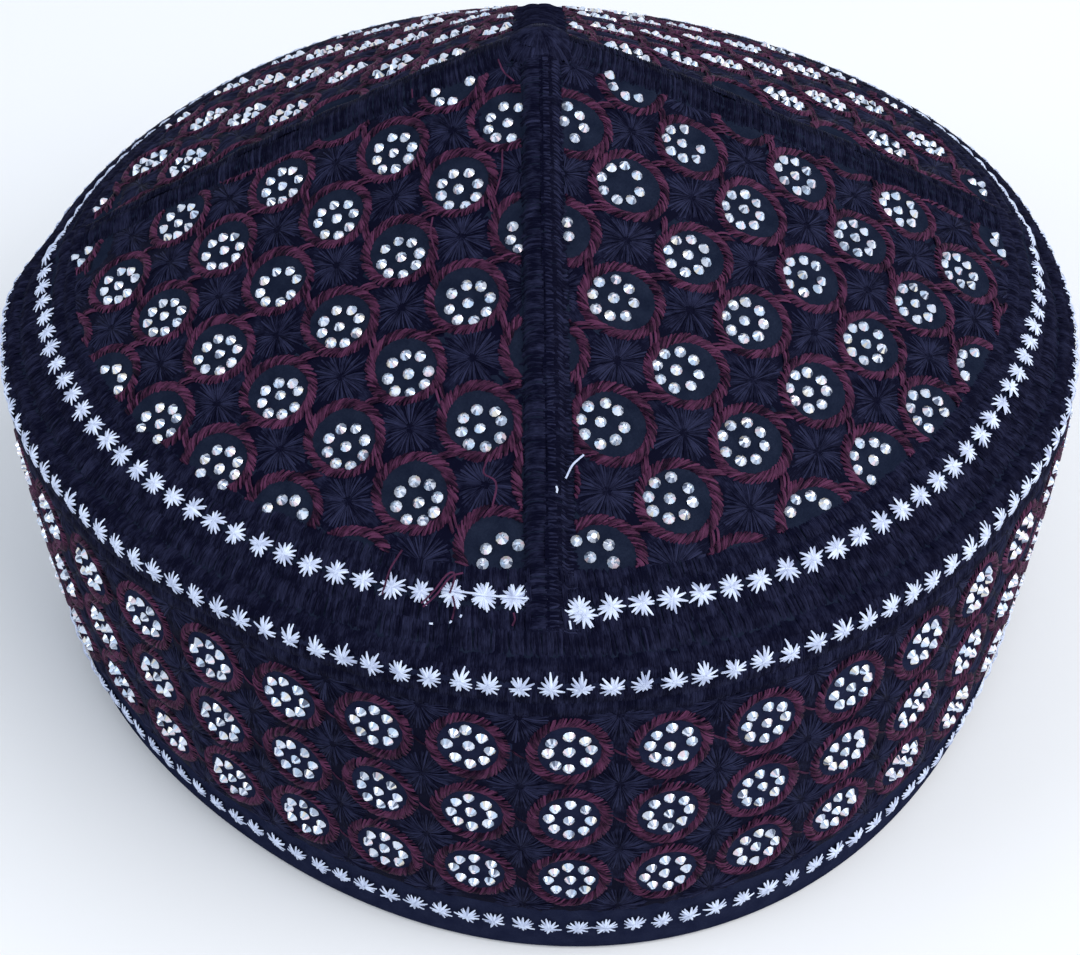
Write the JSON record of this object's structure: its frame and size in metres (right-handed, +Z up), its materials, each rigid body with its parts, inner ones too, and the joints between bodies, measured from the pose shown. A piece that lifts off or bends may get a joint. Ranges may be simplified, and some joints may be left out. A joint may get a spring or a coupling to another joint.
{
  "type": "kufi",
  "caption": "Round embroidered kufi with a stiff side band and a low crown of gores joined by raised ribs, open below for the head.",
  "frame": {"origin": "centre of the rim's plane, which the cap rests on", "axes": "+Z up through the crown's top, -Y towards the front, +X towards the viewer's right when the cap is seen from the front"},
  "size_m": [0.1828, 0.1946, 0.1026],
  "materials": {
    "band_cloth": "black cotton, plain at the hem and closely stitched above",
    "crown_cloth": "black cotton, closely stitched",
    "black_thread": "black satin stitch with a soft gloss",
    "maroon_thread": "maroon satin stitch with a soft gloss",
    "white_thread": "cold white embroidery thread",
    "cut_stone": "clear faceted stone with a silvered back"
  },
  "bodies": {
    "root": {"band": "band_cloth", "gore_front_right": "crown_cloth", "gore_back_right": "crown_cloth", "gore_back_left": "crown_cloth", "gore_front_left": "crown_cloth"}
  },
  "joints": []
}
